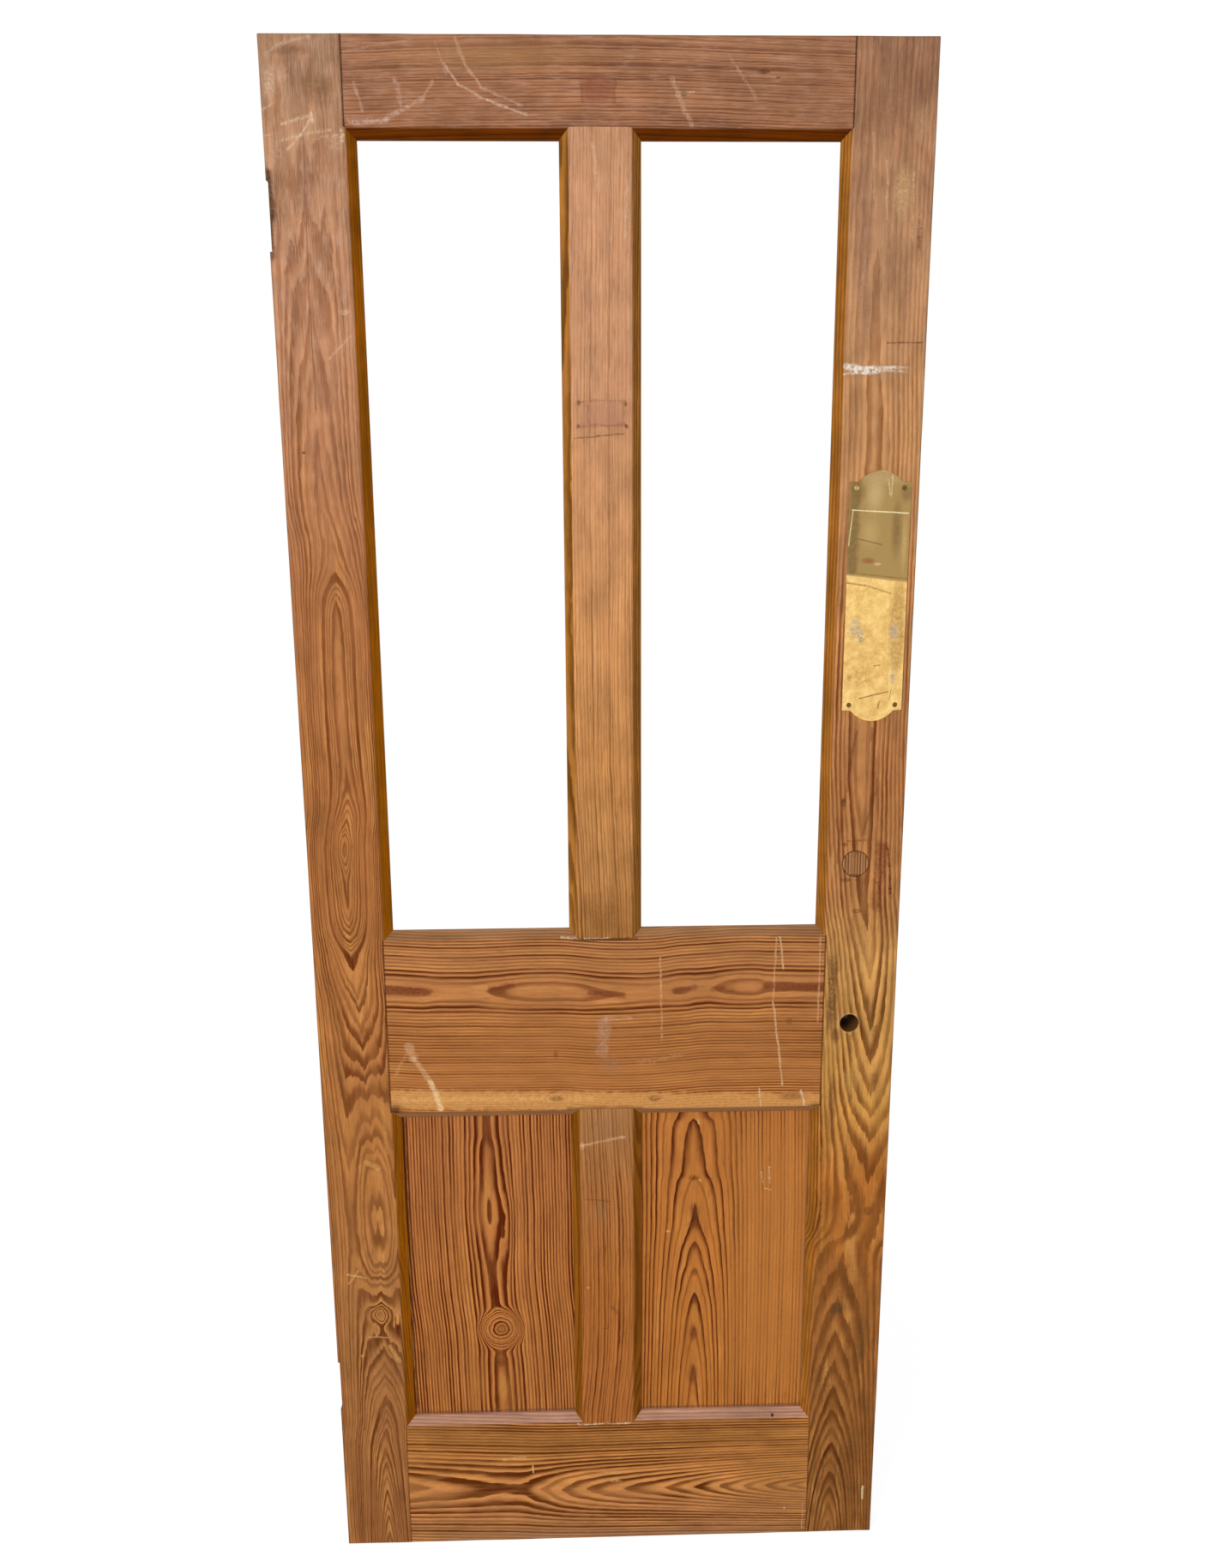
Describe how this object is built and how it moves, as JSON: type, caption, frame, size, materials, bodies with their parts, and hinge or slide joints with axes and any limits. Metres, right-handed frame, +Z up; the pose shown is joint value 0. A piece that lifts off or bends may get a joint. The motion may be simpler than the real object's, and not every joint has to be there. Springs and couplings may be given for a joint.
{
  "type": "panelled door leaf",
  "caption": "Panelled softwood interior door leaf: open glazing lights over flat panels, chamfered frame with wedged tenons, aged brass finger plate, spindle hole.",
  "frame": {"origin": "middle of the leaf's foot, in the middle of its thickness", "axes": "+Z up, -Y out of the front face with the finger plate, +X towards the lock edge"},
  "size_m": [0.762, 0.0412, 1.981],
  "materials": {
    "pitch_pine_stiles": "worn wax over pitch pine",
    "pitch_pine_rails": "worn wax over pitch pine",
    "pitch_pine_panels": "worn wax over pitch pine",
    "pine_wedges": "bare end grain",
    "plate_brass": "tarnished and scratched sheet brass",
    "screw_brass": "dark oxidised brass",
    "pine_plug": "sanded pine"
  },
  "bodies": {
    "root": {"hinge_stile": "pitch_pine_stiles", "lock_stile": "pitch_pine_stiles", "top_rail": "pitch_pine_rails", "lock_rail": "pitch_pine_rails", "bottom_rail": "pitch_pine_rails", "upper_muntin": "pitch_pine_stiles", "lower_muntin": "pitch_pine_stiles", "left_panel": "pitch_pine_panels", "right_panel": "pitch_pine_panels", "top_rail_wedges": "pine_wedges", "lock_rail_wedges": "pine_wedges", "bottom_rail_wedges": "pine_wedges", "finger_plate": "plate_brass", "plate_screws": "screw_brass", "cylinder_plug": "pine_plug"}
  },
  "joints": []
}
